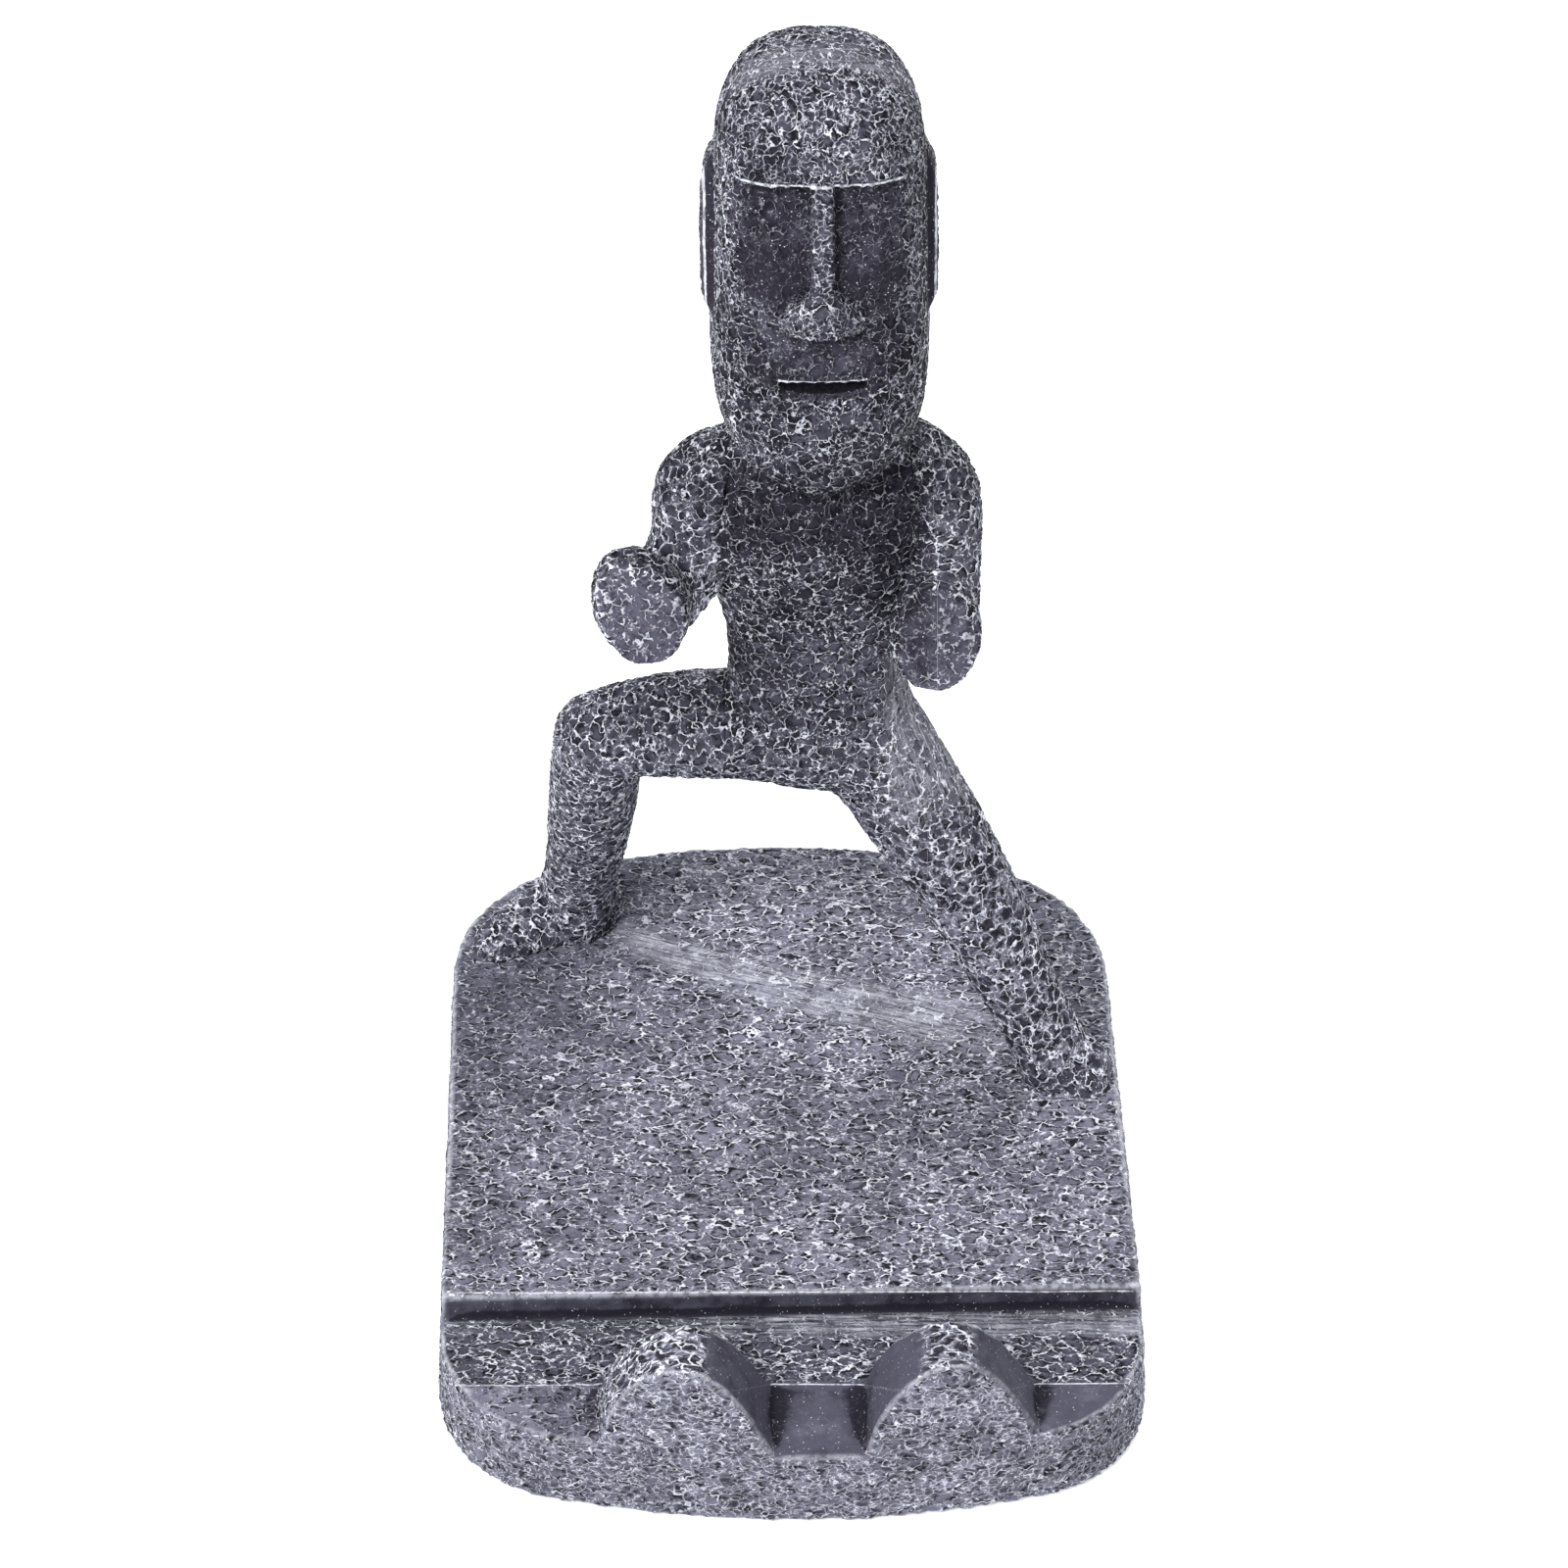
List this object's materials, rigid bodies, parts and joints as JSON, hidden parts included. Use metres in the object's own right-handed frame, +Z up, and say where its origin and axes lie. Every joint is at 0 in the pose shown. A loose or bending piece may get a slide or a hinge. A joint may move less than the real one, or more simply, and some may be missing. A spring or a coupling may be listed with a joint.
{
  "type": "statue phone stand",
  "caption": "Desk phone stand: a stone-look statue with a long carved head, in a wide stance on a rounded slab; a phone stands behind two lugs and leans on its fists.",
  "frame": {"origin": "middle of the slab's footprint on the table the stand is put on, at the bottom of the foot pads", "axes": "+Z up; -Y is the front, where the lugs are and where the statue faces; +X is the statue's own left"},
  "size_m": [0.0858, 0.104, 0.1557],
  "materials": {
    "drybrushed_stone": "rough cast, dark slate under a light drybrush",
    "dark_stone": "rough cast, dark slate under a thin drybrush",
    "pin_steel": "cut wire",
    "pad_rubber": "matte"
  },
  "bodies": {
    "root": {"base_slab": "drybrushed_stone", "torso": "dark_stone", "head": "dark_stone", "right_arm": "dark_stone", "left_arm": "dark_stone", "bent_leg": "dark_stone", "straight_leg": "dark_stone", "neck_pin": "pin_steel", "shoulder_pins": "pin_steel", "hip_pins": "pin_steel", "foot_pins": "pin_steel", "foot_pads": "pad_rubber"}
  },
  "joints": []
}
